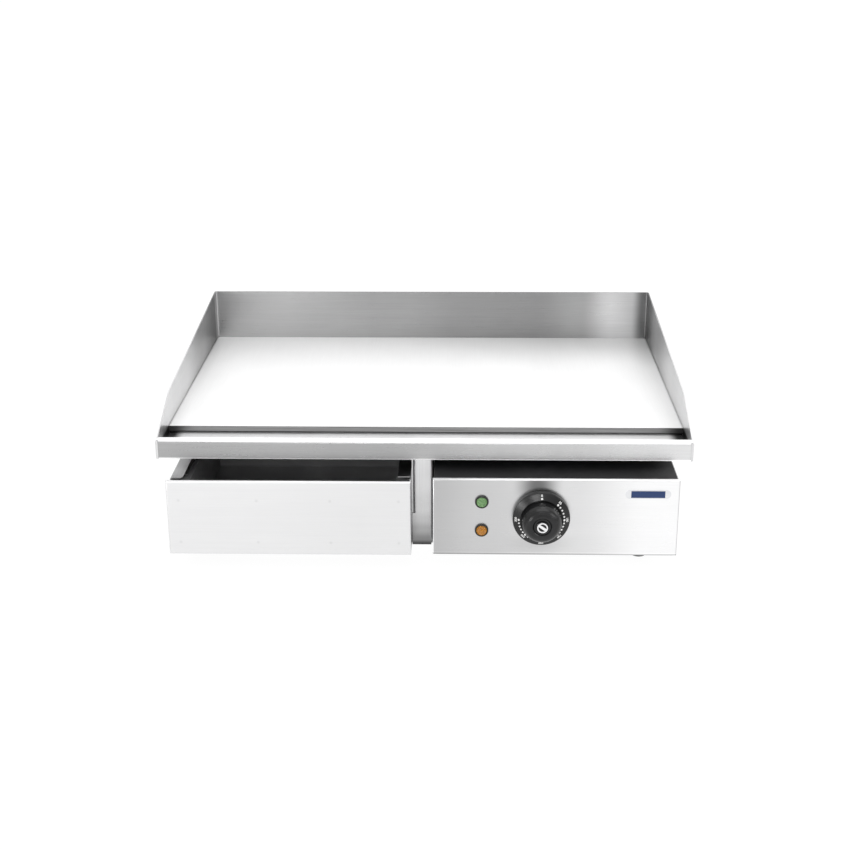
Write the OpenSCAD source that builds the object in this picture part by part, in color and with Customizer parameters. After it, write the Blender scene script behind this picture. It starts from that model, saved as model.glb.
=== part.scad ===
// Countertop electric griddle: a steel plate with splash guards and a front
// grease trough, standing on a folded sheet-steel body that holds a grease
// drawer on the left and a thermostat control box on the right.
//
// Frame: +Z up, X across the front, +Y towards the back. The origin is the
// bottom centre of the bounding box. Modules are drawn in bench coordinates,
// with y = 0 on the front face of the fascia, and placed() shifts them.

/* [Griddle top] */
// Width over the side guards
top_w = 550; // [530:5:600]
// Depth from the fascia to the back guard
top_d = 400; // [395:1:410]
// Thickness of the cooking plate
plate_t = 7; // [6:0.5:8]
// Distance from the fascia to the plate's front edge
trough_w = 67; // [64:1:68]
// Width of the flat lip behind the fascia
lip_w = 13.7; // [10:0.1:14]
// Height of the lip above the plate's surface
lip_rise = 7.4; // [4:0.1:8]
// Height of the fascia
fascia_h = 19.2; // [16:0.1:19.4]
// Height of the back guard above the plate
guard_h = 60; // [50:1:80]
// Height of the side guards above the plate where their front slope ends
knee_h = 35; // [30:1:40]

/* [Body] */
// Width of the body over its side walls
body_w = 512; // [508:1:514]
// Height of the body's side walls
body_h = 85.7; // [85.5:0.1:89]
// Height of the air gap between body and plate
spacer_h = 14.5; // [14.5:0.1:18]
// Clearance under the body
foot_h = 13.4; // [12:0.1:30]
// Thickness of the folded sheet
sheet = 1.2; // [1:0.1:1.2]

/* [Fronts] */
// How far the control panel reaches past the body's side wall
front_over = 2.5; // [2.5:0.1:4]
// Distance from the middle of the griddle to the control panel
front_x0 = 9.9; // [9.9:0.1:11.5]
// How far the control panel stands in front of the fascia
reach = 30; // [26:1:34]

/* [Controls] */
// Radius of the knob's dial skirt
skirt_r = 29; // [28:0.1:30]
// Radius of the knob's grip where it meets the skirt
grip_r = 20.6; // [19.5:0.1:21.5]
// How far the knob stands in front of the control panel
knob_h = 29; // [27:0.5:31]
// Radius of the lamp bezels
bezel_r = 6.9; // [6.7:0.1:8]

/* [Hidden] */
$fn = 48;

// Levels, measured up from the surface the feet stand on
body_top = foot_h + body_h;
plate_under = body_top + spacer_h;
plate_top = plate_under + plate_t;
lip_top = plate_top + lip_rise;
fascia_z = lip_top - fascia_h;
guard_top = plate_top + guard_h;
floor_drop = 1.6;
floor_top = plate_under - floor_drop;
base_top = foot_h + 2 * sheet;
front_z = base_top + 1.2;
control_top = body_top + sheet;
drawer_top = body_top - sheet - 0.3;
element_r = 4.2;
element_z = plate_under - element_r - 0.1;
clamp_z = element_z - element_r - 0.1;
clamp_t = 2;
cover_z = body_top - 5.2;
cover_t = 1;
mat_t = 6.5;

// Places across the front
half_top = top_w / 2;
half_in = half_top - sheet;
half_body = body_w / 2;
wall_in = half_body - sheet;
front_x1 = half_body + front_over;
drawer_x0 = -front_x1 - 1.5;
drawer_x1 = -front_x0 - 2.3;
divider_x = drawer_x1;
divider_t = 1;
slit_z = body_top - 50;

// Fastening of the body
flange_w = 13;
screw_x = half_body - 7;
base_screw_ys = [40, 200, 350];
back_screw_zs = [foot_h + 18, body_top - 18];

// Places from front to back
body_front = 2;
body_back = top_d - 8;
cover_y0 = 80;
cover_y1 = body_back - 2;
gland_end = body_back + 19;
rear_reach = gland_end;
fascia_y = -(rear_reach - reach - knob_h) / 2;

// Folds
bend_r = 1.6;
bend_steps = 6;
front_r = 1.8;
front_return = 3.7;
corner_y = top_d - 12;

// Heating circuit
leg_pitch = 40;
leg_y0 = 88;
element_left = -222;
element_right = 214;
element_turn = 185;
terminal_z = cover_z - 4;
clamp_xs = [-150, 0, 150];
stud_ys = [108, 228, 348];
stud_r = 3;
stud_low = cover_z - 5;
mount_x = half_body - 6.4;
mount_ys = [96, 372];
mount_r = 2.5;
drain_x = -135;
drain_y = 36;
drain_r = 11;

// Controls
lamp_seat = -reach + sheet + 15;
lamp_end = lamp_seat + 15;
knob_x = 119.7;
knob_z = plate_top - 60.5;
lamp_x = 59.6;
lamp_zs = [plate_top - 75.7, plate_top - 44.5];
lens_r = 5.4;
panel_y = -reach;
panel_back = panel_y + sheet;
shaft_r = 3;
shaft_y0 = panel_y + 15;
insert_r = 5.3;
insert_t = 3.4;
cutout_x = knob_x - 3;
cutout_z = knob_z - 4.3;
gland_x = 200;
gland_z = 52;
cable_r = 5.5;
capillary_x = 131.5;
capillary_z = cover_z - 5;
bulb_z = plate_under - 3.1;
bulb_ys = [148, 308];
block_x0 = 92;
block_y0 = 318;

// Drawer
tray_x0 = -wall_in + 13.3;
tray_x1 = divider_x - 14.8;
tray_top = body_top - 12.1;
tray_z0 = 30;
tray_y1 = 178;
rim_w = 9;
runner_y = [6, 210];
drawer_y = panel_y - 3;
foot_x = 225;
foot_ys = [12.2, 365];

// ---------------------------------------------------------------- helpers

module placed() {
    translate([0, fascia_y, 0]) children();
}

// A profile in (y, z) drawn along X from x0 to x1
module along_x(x0, x1) {
    translate([x0, 0, 0]) rotate([90, 0, 90]) linear_extrude(x1 - x0) children();
}

// A profile in (x, z) drawn along Y from y0 to y1
module along_y(y0, y1) {
    translate([0, y1, 0]) rotate([90, 0, 0]) linear_extrude(y1 - y0) children();
}

// A profile in (x, y) drawn along Z from z0 to z1
module along_z(z0, z1) {
    translate([0, 0, z0]) linear_extrude(z1 - z0) children();
}

module block(low, high) {
    translate(low) cube(high - low);
}

module rod_y(x, z, y0, y1, r) {
    translate([x, y0, z]) rotate([-90, 0, 0]) cylinder(r = r, h = y1 - y0);
}

module rod_z(x, y, z0, z1, r) {
    translate([x, y, z0]) cylinder(r = r, h = z1 - z0);
}

module ring_z(x, y, z0, z1, r_out, r_in) {
    difference() {
        rod_z(x, y, z0, z1, r_out);
        rod_z(x, y, z0 - 1, z1 + 1, r_in);
    }
}

module hex_nut(x, y, z0, z1, flats, r_in) {
    difference() {
        translate([x, y, z0]) rotate(30) cylinder(d = flats / cos(30), h = z1 - z0, $fn = 6);
        rod_z(x, y, z0 - 1, z1 + 1, r_in);
    }
}

// A 2-D slot with round ends
module slot(centre, length, width) {
    half = (length - width) / 2;
    translate(centre) {
        square([width, 2 * half], center = true);
        for (end = [-half, half]) translate([0, end]) circle(d = width);
    }
}

function unit(v) = v / norm(v);

// The arc that rounds the corner b between a and c
function corner_arc(a, b, c, r) =
    let (u = unit(a - b),
         w = unit(c - b),
         inner = acos(u * w),
         centre = b + unit(u + w) * r / sin(inner / 2),
         first = b + u * r / tan(inner / 2) - centre,
         side = u[0] * w[1] - u[1] * w[0] > 0 ? -1 : 1,
         sweep = side * (180 - inner))
    [for (i = [0:bend_steps])
        let (t = sweep * i / bend_steps)
        centre + [first[0] * cos(t) - first[1] * sin(t), first[0] * sin(t) + first[1] * cos(t)]];

// A path with its inner corners rounded
function bent_path(pts, r) =
    [for (i = [0:len(pts) - 1])
        each (i == 0 || i == len(pts) - 1)
            ? [pts[i]]
            : corner_arc(pts[i - 1], pts[i], pts[i + 1], r)];

// The path moved sideways by d
function side_path(path, d) =
    let (last = len(path) - 1)
    [for (i = [0:last])
        let (u = unit(path[max(i, 1)] - path[max(i, 1) - 1]),
             w = unit(path[min(i, last - 1) + 1] - path[min(i, last - 1)]),
             n = unit([-u[1] - w[1], u[0] + w[0]]))
        path[i] + n * d / (n * [-u[1], u[0]])];

function reversed(list) = [for (i = [len(list) - 1:-1:0]) list[i]];

// The cross-section of a sheet folded along the given middle line
module folded(pts, t = sheet, r = bend_r) {
    path = bent_path(pts, r);
    polygon(concat(side_path(path, t / 2), reversed(side_path(path, -t / 2))));
}

function any_normal(u) = unit(cross(u, abs(u[2]) > 0.9 ? [1, 0, 0] : [0, 0, 1]));

module from_axes(origin, ax, ay, az) {
    multmatrix([
        [ax[0], ay[0], az[0], origin[0]],
        [ax[1], ay[1], az[1], origin[1]],
        [ax[2], ay[2], az[2], origin[2]],
        [0, 0, 0, 1]
    ]) children();
}

module elbow(a, b, c, r, bend) {
    u = unit(b - a);
    w = unit(c - b);
    turn = acos(u * w);
    n = unit(w - u * (u * w));
    centre = b - u * bend * tan(turn / 2) + n * bend;
    from_axes(centre, -n, u, cross(-n, u))
        rotate_extrude(angle = turn) translate([bend, 0]) circle(r = r);
}

// How much the bends take off each end of a stretch
function trim_at(pts, i, bend) =
    i == 0 || i == len(pts) - 1
        ? 0
        : bend * tan(acos(unit(pts[i] - pts[i - 1]) * unit(pts[i + 1] - pts[i])) / 2);

// A round rod or wire bent along a route
module pipe(pts, r, bend) {
    for (i = [0:len(pts) - 2]) {
        u = unit(pts[i + 1] - pts[i]);
        start = pts[i] + u * trim_at(pts, i, bend);
        length = norm(pts[i + 1] - pts[i]) - trim_at(pts, i, bend) - trim_at(pts, i + 1, bend);
        p = any_normal(u);
        if (length > 0.01) from_axes(start, p, cross(u, p), u) cylinder(r = r, h = length);
    }
    for (i = [1:len(pts) - 2]) elbow(pts[i - 1], pts[i], pts[i + 1], r, bend);
}

// ---------------------------------------------------------------- griddle top

// Flat plate whose rear corners clear the bends of the back guard
module griddle_plate() {
    clip = 2.2;
    back = top_d - sheet;
    placed() color("gainsboro") along_z(plate_under, plate_top) polygon([
        [-half_in, trough_w], [half_in, trough_w],
        [half_in, back - clip], [half_in - clip, back],
        [clip - half_in, back], [-half_in, back - clip]
    ]);
}

// Top edge of the guards in (y, z), from the lip to the rear corner
function guard_edge() =
    let (start = [10, lip_top],
         knee = [82, plate_top + knee_h],
         end = [top_d - 3, guard_top])
    concat([start], corner_arc(start, knee, end, 70), [end]);

function edge_height(y) =
    let (pts = guard_edge(),
         a = pts[len(pts) - 2],
         b = pts[len(pts) - 1])
    a[1] + (y - a[0]) * (b[1] - a[1]) / (b[0] - a[0]);

// Back guard with a short return welded to each side guard
module back_guard() {
    x = half_top - sheet / 2;
    y = top_d - sheet / 2;
    placed() color("silver") intersection() {
        along_z(fascia_z, guard_top)
            folded([[-x, corner_y], [-x, y], [x, y], [x, corner_y]], sheet, 2.4);
        along_x(-half_top - 1, half_top + 1) polygon([
            [corner_y - 1, fascia_z - 1], [corner_y - 1, edge_height(corner_y - 1)],
            [top_d - 3, guard_top], [top_d + 1, guard_top], [top_d + 1, fascia_z - 1]
        ]);
    }
}

// Outline of a side guard in (y, z), behind its rounded front corner
function guard_outline() =
    let (edge = guard_edge())
    concat(
        [[3, fascia_z], [3, lip_top]],
        [for (i = [0:len(edge) - 2]) edge[i]],
        [[corner_y, edge_height(corner_y)], [corner_y, fascia_z]]);

module left_guard() {
    corner_r = 1.9;
    placed() color("silver") {
        along_x(-half_top, -half_in) polygon(guard_outline());
        along_z(fascia_z, lip_top)
            folded([
                [-half_top + sheet / 2, 3],
                [-half_top + sheet / 2, sheet / 2],
                [-half_top + 3, sheet / 2]
            ], sheet, corner_r);
    }
}

module right_guard() {
    mirror([1, 0, 0]) left_guard();
}

module grease_trough() {
    mid = sheet / 2;
    flange_end = cover_y0 - 0.5;
    placed() color("silver") difference() {
        along_x(-half_in, half_in)
            folded([
                [12, fascia_z + mid],
                [mid, fascia_z + mid],
                [mid, lip_top - mid],
                [lip_w - mid, lip_top - mid],
                [lip_w - mid, floor_top - mid],
                [trough_w + 2.5, floor_top - mid],
                [trough_w + 4.5, plate_under - mid],
                [flange_end, plate_under - mid]
            ], sheet, 1.1);
        for (s = [-1, 1])
            block([s > 0 ? half_top - 3 : -half_top, -1, fascia_z - 1],
                  [s > 0 ? half_top : 3 - half_top, 3, lip_top + 1]);
        rod_z(drain_x, drain_y, floor_top - 5, floor_top + 5, drain_r);
    }
}

module drain_spout() {
    top = floor_top - sheet;
    placed() color("silver") {
        ring_z(drain_x, drain_y, top - sheet, top, drain_r + 5, drain_r);
        ring_z(drain_x, drain_y, top - 11, top, drain_r + 1.2, drain_r);
    }
}

// ---------------------------------------------------------------- heating

// One serpentine sheathed element of four legs, with both ends turned down
module heating_element(y0) {
    ys = [for (i = [0:3]) y0 + i * leg_pitch];
    z = element_z;
    placed() color("dimgray")
        pipe([
            [element_right, ys[0], terminal_z],
            [element_right, ys[0], z],
            [element_left, ys[0], z],
            [element_left, ys[1], z],
            [element_turn, ys[1], z],
            [element_turn, ys[2], z],
            [element_left, ys[2], z],
            [element_left, ys[3], z],
            [element_right, ys[3], z],
            [element_right, ys[3], terminal_z]
        ], element_r, 15);
}

module heating_element_front() {
    heating_element(leg_y0);
}

module heating_element_rear() {
    heating_element(leg_y0 + 4 * leg_pitch);
}

function terminal_ys() = [for (i = [0, 3, 4, 7]) leg_y0 + i * leg_pitch];

module element_terminals() {
    placed() color("ivory") for (y = terminal_ys()) {
        rod_z(element_right, y, terminal_z - 8, terminal_z, 5.2);
        rod_z(element_right, y, terminal_z - 16, terminal_z - 8, 2);
    }
}

module clamp_bars() {
    placed() color("darkgray") difference() {
        for (x = clamp_xs) block([x - 10, 84, clamp_z - clamp_t], [x + 10, 374, clamp_z]);
        for (x = clamp_xs, y = stud_ys) rod_z(x, y, clamp_z - 5, clamp_z + 1, stud_r + 0.3);
    }
}

module plate_studs() {
    placed() color("dimgray")
        for (x = clamp_xs, y = stud_ys) rod_z(x, y, stud_low, plate_under, stud_r);
}

module clamp_nuts() {
    placed() color("dimgray") for (x = clamp_xs, y = stud_ys)
        hex_nut(x, y, clamp_z - clamp_t - 5, clamp_z - clamp_t, 10, stud_r + 0.05);
}

module insulation_mat() {
    gap = 0.3;
    half = wall_in - 15.8;
    placed() color("linen") difference() {
        block([-half, cover_y0 + cover_t + gap, cover_z + cover_t],
              [half, cover_y1 - cover_t - gap, cover_z + cover_t + mat_t]);
        for (x = clamp_xs, y = stud_ys) rod_z(x, y, cover_z, cover_z + 20, 7);
        for (y = terminal_ys()) rod_z(element_right, y, cover_z, cover_z + 20, element_r + 3.8);
        for (y = bulb_ys) rod_z(capillary_x, y, cover_z, cover_z + 20, 3);
    }
}

module element_cover() {
    half = wall_in - 14.3;
    placed() color("darkgray") difference() {
        block([-half, cover_y0, cover_z], [half, cover_y1, plate_under]);
        block([cover_t - half, cover_y0 + cover_t, cover_z + cover_t],
              [half - cover_t, cover_y1 - cover_t, plate_under + 1]);
        for (x = clamp_xs, y = stud_ys) rod_z(x, y, cover_z - 1, cover_z + 5, stud_r + 0.4);
        for (y = terminal_ys()) rod_z(element_right, y, cover_z - 1, cover_z + 5, element_r + 0.8);
        for (y = bulb_ys) rod_z(capillary_x, y, cover_z - 1, cover_z + 5, 2);
    }
}

module cover_nuts() {
    placed() color("dimgray") for (x = clamp_xs, y = stud_ys)
        hex_nut(x, y, cover_z - 4.5, cover_z, 10, stud_r + 0.05);
}

module bulb_clips() {
    placed() color("darkgray") for (y = bulb_ys, x = [40, 95]) difference() {
        block([x - 5, y - 4.4, bulb_z - 4.2], [x + 5, y + 4.4, plate_under]);
        block([x - 6, y - 3.2, bulb_z - 3.2], [x + 6, y + 3.2, plate_under + 1]);
    }
}

// ---------------------------------------------------------------- body

module at_mounts() {
    for (x = [-mount_x, mount_x], y = mount_ys) translate([x, y, 0]) children();
}

module mounting_studs() {
    placed() color("dimgray") at_mounts() rod_z(0, 0, body_top - 9, plate_under, mount_r);
}

module mounting_spacers() {
    placed() color("silver") at_mounts() ring_z(0, 0, body_top, plate_under, 5.4, mount_r + 0.2);
}

module mounting_nuts() {
    placed() color("dimgray") at_mounts()
        hex_nut(0, 0, body_top - sheet - 4.5, body_top - sheet, 8, mount_r + 0.05);
}

// Folded side wall with a top, a bottom and a rear flange, on the left for s = -1
module body_side(s, y0) {
    x = s * (half_body - sheet / 2);
    lean = s * (half_body - flange_w);
    placed() color("lightgray") difference() {
        union() {
            along_y(y0, body_back)
                folded([
                    [lean, body_top - sheet / 2],
                    [x, body_top - sheet / 2],
                    [x, foot_h + sheet / 2],
                    [lean, foot_h + sheet / 2]
                ]);
            block([min(lean, x), body_back - sheet, base_top + 0.3],
                  [max(lean, x), body_back, body_top - sheet - 0.3]);
        }
        translate([s * mount_x, 0, 0])
            for (y = mount_ys) rod_z(0, y, body_top - 5, body_top + 5, mount_r + 0.3);
        for (y = base_screw_ys) rod_z(s * screw_x, y, foot_h - 1, foot_h + 5, 2.1);
        for (z = back_screw_zs) rod_y(s * screw_x, z, body_back - 5, body_back + 1, 2.1);
        if (y0 < body_front) {
            block([-half_body - 1, y0 - 1, foot_h - 1], [-half_body + 20, body_front, front_z + 0.6]);
            translate([lean, y0, body_top])
                rotate([0, 0, 45]) cube([3.6, 3.6, 10], center = true);
        }
    }
}

module body_side_left() {
    body_side(-1, panel_back + 2.4);
}

module body_side_right() {
    body_side(1, body_front);
}

module body_base() {
    half = wall_in - 1.3;
    placed() color("lightgray") along_z(foot_h + sheet, base_top) difference() {
        translate([-half, body_front + sheet]) square([2 * half, body_back - body_front - sheet - 0.2]);
        for (x = [-foot_x, foot_x], y = foot_ys) translate([x, y]) circle(r = 2.7);
        for (s = [-1, 1], y = base_screw_ys) translate([s * screw_x, y]) circle(r = 2.1);
        for (i = [0:7]) slot([40 + 12 * i, 110], 50, 4);
        for (i = [0:7]) slot([40 + 12 * i, 230], 50, 4);
    }
}

module back_panel() {
    placed() color("lightgray") along_y(body_back, body_back + sheet) difference() {
        translate([-half_body, foot_h]) square([body_w, body_h]);
        for (i = [0:11]) slot([-200 + 14 * i, foot_h + 40], 34, 4);
        translate([gland_x, gland_z]) circle(r = 8.2);
        translate([cutout_x, cutout_z]) circle(r = 5.2);
        for (s = [-1, 1], z = back_screw_zs) translate([s * screw_x, z]) circle(r = 2.1);
    }
}

// Upright strip between the two fronts, wider at its foot
module centre_panel() {
    mid = sheet / 2;
    x0 = -front_x0 - 0.3;
    x1 = front_x0 - 0.4;
    y = body_front + mid;
    back = body_front + sheet;
    placed() color("lightgray") {
        along_z(base_top, fascia_z)
            folded([[x0 + mid, 30], [x0 + mid, y], [x1 - mid, y], [x1 - mid, 30]]);
        block([x0 + bend_r, body_front, foot_h], [x1 - bend_r, back, base_top + 1]);
        block([divider_x + 0.3, body_front, foot_h], [x0 + 3, back, slit_z]);
    }
}

// Wall between the drawer bay and the electrical bay
module bay_divider() {
    x1 = divider_x;
    x0 = divider_x - divider_t;
    step_y = 24;
    placed() color("lightgray") {
        along_x(x0, x1) polygon([
            [panel_back, front_z + 1], [panel_back, body_top],
            [step_y, body_top], [step_y, cover_z - 2],
            [body_back - 16, cover_z - 2], [body_back - 16, base_top],
            [body_front + sheet, base_top], [body_front + sheet, front_z + 1]
        ]);
        block([x0 - 12.5, panel_back + 8, body_top - divider_t], [x0, step_y, body_top]);
        block([x1, 34, base_top], [x1 + 10, body_back - 16, base_top + divider_t]);
        block([x1, body_front, slit_z + 0.4], [x1 + 1.6, body_front + sheet, fascia_z - 0.3]);
    }
}

// C-shaped rail that holds the tray's rim; s = 1 opens towards +X
module drawer_runner(x, s) {
    reach_x = x + s * 11;
    mid = 0.5;
    placed() color("silver") along_y(runner_y[0], runner_y[1])
        folded([
            [reach_x, tray_top - 2.1],
            [x + s * mid, tray_top - 2.1],
            [x + s * mid, tray_top + 1.9],
            [reach_x, tray_top + 1.9]
        ], 1, 0.8);
}

module drawer_runner_left() {
    drawer_runner(-wall_in, 1);
}

module drawer_runner_right() {
    drawer_runner(divider_x - divider_t, -1);
}

// ---------------------------------------------------------------- drawer

module drawer_tray() {
    y0 = drawer_y + sheet;
    t = 1;
    placed() color("dimgray") {
        difference() {
            block([tray_x0, y0, tray_z0], [tray_x1, tray_y1, tray_top]);
            block([tray_x0 + t, y0 + t, tray_z0 + t], [tray_x1 - t, tray_y1 - t, tray_top + 1]);
        }
        for (x = [tray_x0 - rim_w, tray_x1])
            block([x, y0 + 4, tray_top - t], [x + rim_w, tray_y1, tray_top]);
    }
}

// A square whose two corners at its lower edge are rounded
module rounded_front(low, high, r) {
    translate([low[0] + r, low[1]]) square([high[0] - low[0] - 2 * r, high[1] - low[1]]);
    translate([low[0], low[1] + r]) square([high[0] - low[0], high[1] - low[1] - r]);
    for (x = [low[0] + r, high[0] - r]) translate([x, low[1] + r]) circle(r = r);
}

// A block from low to high whose four edges around its front face are rounded
module soft_block(low, high, r) {
    intersection() {
        along_z(low[2], high[2]) rounded_front([low[0], low[1]], [high[0], high[1]], r);
        translate([low[0], 0, high[2]]) rotate([0, 90, 0]) linear_extrude(high[0] - low[0])
            rounded_front([0, low[1]], [high[2] - low[2], high[1]], r);
    }
}

// Sheet front with all four edges folded back
module pan(x0, x1, y0, y1, z0, z1) {
    difference() {
        soft_block([x0, y0, z0], [x1, y1, z1], front_r);
        soft_block([x0 + sheet, y0 + sheet, z0 + sheet],
                   [x1 - sheet, y1 + 1, z1 - sheet], front_r - sheet);
    }
}

module drawer_front() {
    placed() color("whitesmoke")
        pan(drawer_x0, drawer_x1, drawer_y, drawer_y + front_return, front_z, drawer_top);
}

// ---------------------------------------------------------------- control box

module lamp_places() {
    for (z = lamp_zs) translate([lamp_x, 0, z]) children();
}

module control_panel() {
    side_return = 9.6;
    placed() color("silver") difference() {
        union() {
            pan(front_x0, front_x1, panel_y, panel_y + front_return, front_z, control_top);
            for (x = [front_x0, front_x1 - sheet])
                block([x, panel_y + front_return - 0.5, front_z], [x + sheet, panel_y + side_return, drawer_top]);
            block([front_x0 + 4, panel_back, front_z], [front_x1 - 4, panel_back + 12, front_z + sheet]);
        }
        rod_y(knob_x, knob_z, panel_y - 5, panel_back + 5, 5);
        for (s = [-1, 1]) rod_y(knob_x + 14 * s, knob_z, panel_y - 5, panel_back + 5, 2.1);
        lamp_places() rod_y(0, 0, panel_y - 5, panel_back + 5, 5.15);
        for (x = control_screw_xs) rod_z(x, control_screw_y, front_z - 1, front_z + 5, 1.7);
    }
}

control_screw_xs = [60, 210];
control_screw_y = panel_back + 7;

// Three-sided box behind the control panel: left wall, floor and right wall
module control_shell() {
    x0 = front_x0 + sheet + sheet / 2;
    x1 = half_body + sheet / 2;
    y_end = 40;
    z = front_z + 1.5 * sheet;
    placed() color("silver") difference() {
        along_y(panel_y + front_return + 0.3, y_end)
            folded([[x0, body_top], [x0, z], [x1, z], [x1, body_top]]);
        block([x0 + 2.4, body_front - 0.2, 0], [x1 - 2.4, y_end + 1, z + 1]);
        block([x0 - 5, body_front - 0.2, 0], [x0 + 5, y_end + 1, z + 4]);
        block([x1 - 5, body_front - 0.2, 0], [x1 + 5, y_end + 1, z + 4]);
        for (x = control_screw_xs) rod_z(x, control_screw_y, front_z - 1, front_z + 5, 1.7);
    }
}

module control_cover() {
    gap = 0.2;
    placed() color("black")
        block([front_x0 + sheet + gap, panel_y + front_return + 0.1, body_top],
              [half_body + gap, 62, control_top]);
}

// Plain plate with a raised bar
module name_badge() {
    x = 226.6;
    z = plate_top - 35.6;
    placed() color("navy") {
        along_y(panel_y - 0.4, panel_y) translate([x, z]) rotate(90) slot([0, 0], 46, 9.4);
        along_y(panel_y - 0.8, panel_y - 0.4) translate([x, z]) square([34, 7.2], center = true);
    }
}

module thermostat_case() {
    r = 20;
    placed() color("silver") difference() {
        union() {
            block([knob_x - r, panel_back, knob_z - r], [knob_x + r, panel_back + 16, knob_z + r]);
            rod_y(knob_x, knob_z, panel_y - 2, panel_back + 1, 4.8);
        }
        rod_y(knob_x, knob_z, panel_y - 3, shaft_y0, shaft_r + 0.05);
        for (s = [-1, 1]) rod_y(knob_x + 14 * s, knob_z, panel_back - 1, panel_back + 8, 1.9);
    }
}

module thermostat_switch() {
    r = 17;
    y0 = panel_back + 16;
    placed() color("ivory") {
        block([knob_x - r, y0, knob_z - r], [knob_x + r, y0 + 20, knob_z + r]);
        for (dx = [-12, 12], dz = [-8, 8])
            block([knob_x + dx - 3, y0 + 20, knob_z + dz - 0.4], [knob_x + dx + 3, tab_y, knob_z + dz + 0.4]);
    }
}

tab_y = panel_back + 44;

module thermostat_screws() {
    placed() color("silver") for (s = [-1, 1]) {
        rod_y(knob_x + 14 * s, knob_z, panel_y - 1.8, panel_y, 3.4);
        rod_y(knob_x + 14 * s, knob_z, panel_y, panel_back + 7, 1.85);
    }
}

module thermostat_shaft() {
    placed() color("silver") difference() {
        rod_y(knob_x, knob_z, panel_y - 22, shaft_y0, shaft_r);
        block([knob_x - 5, panel_y - 23, knob_z + 1.8], [knob_x + 5, panel_y - 8, knob_z + 5]);
    }
}

// Sensing bulb under the plate and the fine tube that leads to its switch
module sensor(y, route) {
    placed() color("peru") {
        translate([20, y, bulb_z]) rotate([0, 90, 0]) cylinder(r = 3, h = 100);
        pipe(concat([[120, y, bulb_z], [capillary_x, y, bulb_z]], route), 1, 6);
    }
}

module thermostat_capillary() {
    y = panel_back + 8;
    sensor(bulb_ys[0], [
        [capillary_x, bulb_ys[0], capillary_z],
        [capillary_x, y, capillary_z],
        [capillary_x, y, knob_z + 20]
    ]);
}

// Profile of the knob in (radius, distance from the panel): a conical dial
// skirt, a groove, a domed grip and a dished front around the insert
function knob_profile() =
    let (face = knob_h - 19.4,
         seat = knob_h - insert_t)
    [
        [shaft_r + 0.02, 6], [22, 5], [27.4, 0.8], [skirt_r, 0.8], [skirt_r, face - 3.8],
        [skirt_r - 0.4, face - 3], [skirt_r - 1.2, face - 2.6], [grip_r + 0.9, face],
        [grip_r + 0.6, face - 0.1], [grip_r + 0.4, face - 2], [grip_r - 0.9, face - 2],
        [grip_r - 0.9, face + 1.2], [grip_r - 0.4, face + 1.8],
        [grip_r - 0.8, knob_h - 9.6], [grip_r - 2.2, knob_h - 6.2], [grip_r - 3.6, knob_h - 4.1],
        [grip_r - 5, knob_h - 2.8], [grip_r - 6.8, knob_h - 1.8], [grip_r - 9.2, knob_h - 1.2],
        [grip_r - 10.8, knob_h - 1.2], [grip_r - 11.6, knob_h - 1.9],
        [grip_r - 12.2, knob_h - 2.9], [6.6, knob_h - 2.9], [6.2, knob_h - 0.9],
        [insert_r + 0.05, knob_h - 0.5], [insert_r + 0.05, seat], [shaft_r + 0.02, seat]
    ];

module knob() {
    placed() color("black") translate([knob_x, panel_y, knob_z]) rotate([90, 0, 0]) {
        rotate_extrude($fn = 96) polygon(knob_profile());
        translate([-3, grip_r - 4, knob_h - 13.4]) cube([6, 4.9, 3.6]);
    }
}

module knob_insert() {
    bore = 4.1;
    rim_z = knob_h - 1.6;
    placed() color("silver") translate([knob_x, panel_y, knob_z]) rotate([90, 0, 0]) {
        translate([0, 0, knob_h - insert_t]) cylinder(r = insert_r, h = insert_t - 1.6);
        difference() {
            translate([0, 0, rim_z]) cylinder(r = insert_r, h = 1.6);
            translate([0, 0, rim_z]) cylinder(r = bore, h = 3);
        }
        intersection() {
            translate([0, 0, rim_z]) cylinder(r = bore, h = 1.2);
            rotate(-35) translate([-bore, -1.3, rim_z]) cube([2 * bore, 2.6, 2]);
        }
    }
}

module lamp_bezels() {
    placed() color("black") lamp_places() rotate([90, 0, 0]) rotate_extrude() polygon([
        [4.5, -lamp_seat], [5, -lamp_seat], [5, reach], [bezel_r, reach],
        [bezel_r, reach + 1.6], [bezel_r - 0.6, reach + 2.6], [lens_r + 0.2, reach + 2.6],
        [lens_r + 0.1, reach + 0.9], [4.5, reach + 0.9]
    ]);
}

module lamp_lens() {
    stem_r = 4.4;
    seat = reach + 0.95;
    front = reach + 1.6;
    rotate([90, 0, 0]) rotate_extrude() polygon(concat(
        [[0, -lamp_seat], [stem_r, -lamp_seat], [stem_r, seat], [lens_r, seat], [lens_r, front]],
        [for (i = [1:6]) [lens_r * cos(15 * i), front + 3.2 * sin(15 * i)]]));
}

module power_lamp_lens() {
    placed() color("limegreen") translate([lamp_x, 0, lamp_zs[1]]) lamp_lens();
}

module heating_lamp_lens() {
    placed() color("orange") translate([lamp_x, 0, lamp_zs[0]]) lamp_lens();
}

module lamp_holders() {
    placed() color("whitesmoke") lamp_places() {
        rod_y(0, 0, lamp_seat, lamp_end - 6, 5);
        for (s = [-1, 1]) block([3 * s - 0.4, lamp_end - 6, -2.4], [3 * s + 0.4, lamp_end, 2.4]);
    }
}

module lamp_clips() {
    placed() color("silver") lamp_places() difference() {
        rod_y(0, 0, panel_back, panel_back + 2.5, 8);
        rod_y(0, 0, panel_back - 1, panel_back + 4, 5.05);
    }
}

// ---------------------------------------------------------------- electrical bay

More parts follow.
